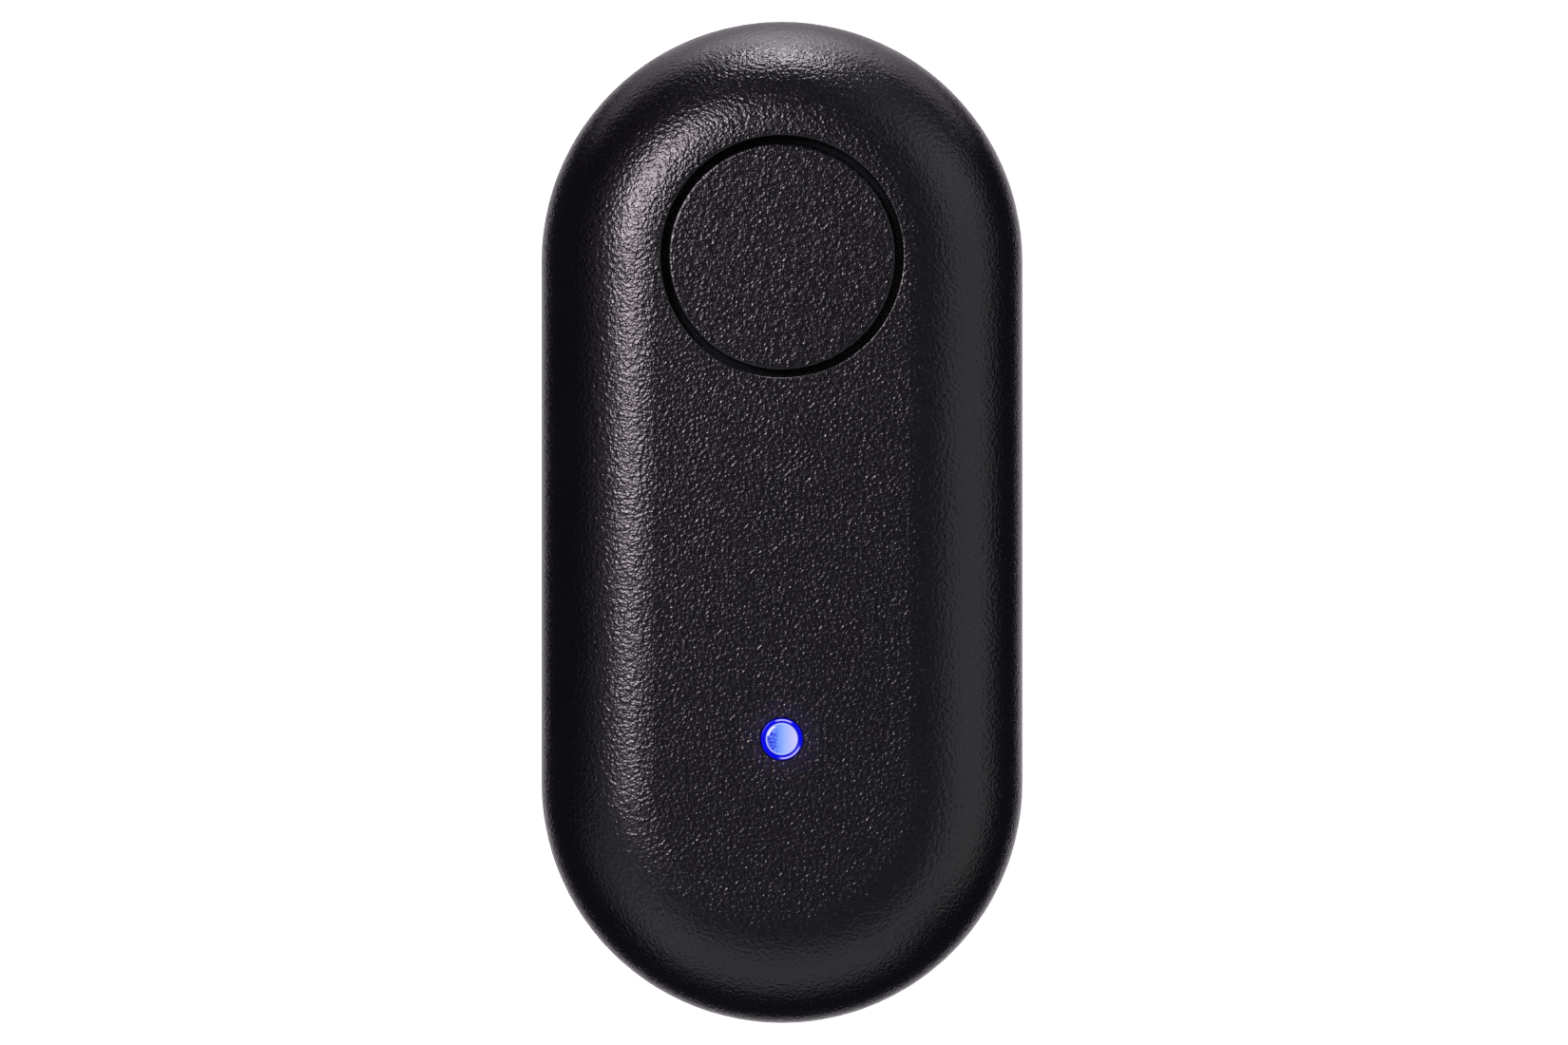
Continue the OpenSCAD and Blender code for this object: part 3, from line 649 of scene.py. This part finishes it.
def stage_sheet(name, corners_mm, z_mm, finish, hole_mm=()):
    """A flat sheet of the stage, from its outline. A hole in it has as many corners."""
    shape = bmesh.new()
    rim, edge = ([shape.verts.new((x * MM, y * MM, z_mm * MM)) for x, y in corners]
                 for corners in (corners_mm, hole_mm))
    if edge:
        for n in range(len(rim)):
            shape.faces.new((rim[n - 1], rim[n], edge[n], edge[n - 1]))
    else:
        shape.faces.new(rim)
    mesh = bpy.data.meshes.new(name)
    shape.to_mesh(mesh)
    shape.free()
    mesh.materials.append(finish)
    sheet = bpy.data.objects.new(name, mesh)
    bpy.context.scene.collection.objects.link(sheet)


def pill_outline(end_y_mm, radius_mm, steps=96):
    """A pill's outline, its ends half circles about (0, end_y) and (0, -end_y)."""
    turns = [2 * math.pi * (n + 0.5) / steps for n in range(steps)]
    return [(radius_mm * math.cos(t),
             radius_mm * math.sin(t) + math.copysign(end_y_mm, math.sin(t))) for t in turns]


def studio_world(surround, strength):
    """A world that is white to the camera and a dim grey to everything else."""
    world = bpy.data.worlds.new("studio")
    bpy.context.scene.world = world
    world.use_nodes = True
    tree = world.node_tree
    tree.nodes.clear()
    ray = add(tree, "ShaderNodeLightPath")
    white = add(tree, "ShaderNodeBackground", {"Color": (1, 1, 1, 1), "Strength": 1.0})
    dim = add(tree, "ShaderNodeBackground", {"Color": linear(surround), "Strength": strength})
    both = add(tree, "ShaderNodeMixShader",
               {"Fac": ray.outputs["Is Camera Ray"], 1: dim.outputs[0], 2: white.outputs[0]})
    add(tree, "ShaderNodeOutputWorld", {"Surface": both.outputs[0]})


body_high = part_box("bottom_shell")[1]
half_w, half_l = body_high.x / MM, body_high.y / MM
# Sizes and places in mm of the sheets, which lie one over another just below the remote
SWEEP_R, SWEEP_Z = 600, -0.04
RIM_STRIP, RIM_STRIP_Z = 3.2, -0.03
CARD_HALF_W, CARD_NEAR_Y, CARD_FAR_Y, CARD_Z = 24, 27.5, 75, -0.02
HOLE_INSET = 1.5
# Middle of what the card gives back, and the distances at which that is full and gone
CARD_FADE = ((0, 52), 3, 23)

# The remote covers a hole in the paper, through which its back is seen and lit
hole = pill_outline(half_l - half_w, half_w - HOLE_INSET)
stage_sheet("paper_sweep", pill_outline(0, SWEEP_R), SWEEP_Z,
            white_paper("white_paper_sweep", grey=0.02, mirrored=0.01), hole)
# The paper close round the remote, which the rim mirrors
stage_sheet("paper_by_the_rim", pill_outline(half_l - half_w, half_w + RIM_STRIP), RIM_STRIP_Z,
            white_paper("white_paper_by_the_rim", grey=0.02, mirrored=0.85), hole)
# A card behind the top end gives the soft oval there
stage_sheet("bounce_card", [(-CARD_HALF_W, CARD_NEAR_Y), (CARD_HALF_W, CARD_NEAR_Y),
                            (CARD_HALF_W, CARD_FAR_Y), (-CARD_HALF_W, CARD_FAR_Y)], CARD_Z,
            white_paper("white_bounce_card", grey=0.6, mirrored=4.2, fade=CARD_FADE))

studio_world(surround="#9a98a4", strength=0.08)

KEY_TONE = "#fdf0f9"
FILL_TONE = "#fbfbff"
# Bearing and tilt in degrees, level side and other side in mm, radiance and tone
softbox("key", 146, 30, 240, 170, 23.5, KEY_TONE)
softbox("key_skirt", 165, 56, 420, 160, 0.3, "#fff0f3")
softbox("key_lower", 182, 27, 280, 160, 1.0, "#fff0f6")
softbox("low_top", 89, 86, 200, 130, 23, "#fff8ff")
softbox("low_right", 2, 64, 1000, 585, 0.72, FILL_TONE)
softbox("low_foot", 270, 63, 1000, 560, 0.66, FILL_TONE)
softbox("low_foot_left", 215, 62, 400, 500, 0.4, FILL_TONE)
softbox("low_upper_right", 48, 64, 420, 560, 0.3, FILL_TONE)
softbox("ceiling_foot", 270, 22, 500, 260, 0.16, FILL_TONE)
softbox("ceiling_right", 0, 26, 500, 250, 0.14, FILL_TONE)
# These light the back through the hole in the paper
softbox("key_below", 146, 150, 240, 170, 20, KEY_TONE)
softbox("fill_below", 300, 130, 600, 400, 1.2, FILL_TONE)

# The camera looks straight down, and its picture is FIELD_W mm wide at the height FIELD_Z,
# near where the remote is widest. As in the photo, the remote lies a hair to the left.
SENSOR_W = 36
CAMERA_AWAY = 250
FIELD_W, FIELD_Z = 81.5, 4
CAMERA_X, CAMERA_Y = 0.11, -0.012
camera_data = bpy.data.cameras.new("camera")
camera_data.sensor_width = SENSOR_W
camera_data.lens = SENSOR_W * CAMERA_AWAY / FIELD_W
camera = bpy.data.objects.new("camera", camera_data)
bpy.context.scene.collection.objects.link(camera)
camera.location = Vector((CAMERA_X, CAMERA_Y, FIELD_Z + CAMERA_AWAY)) * MM
bpy.context.scene.camera = camera
bpy.context.scene.view_settings.view_transform = "Standard"
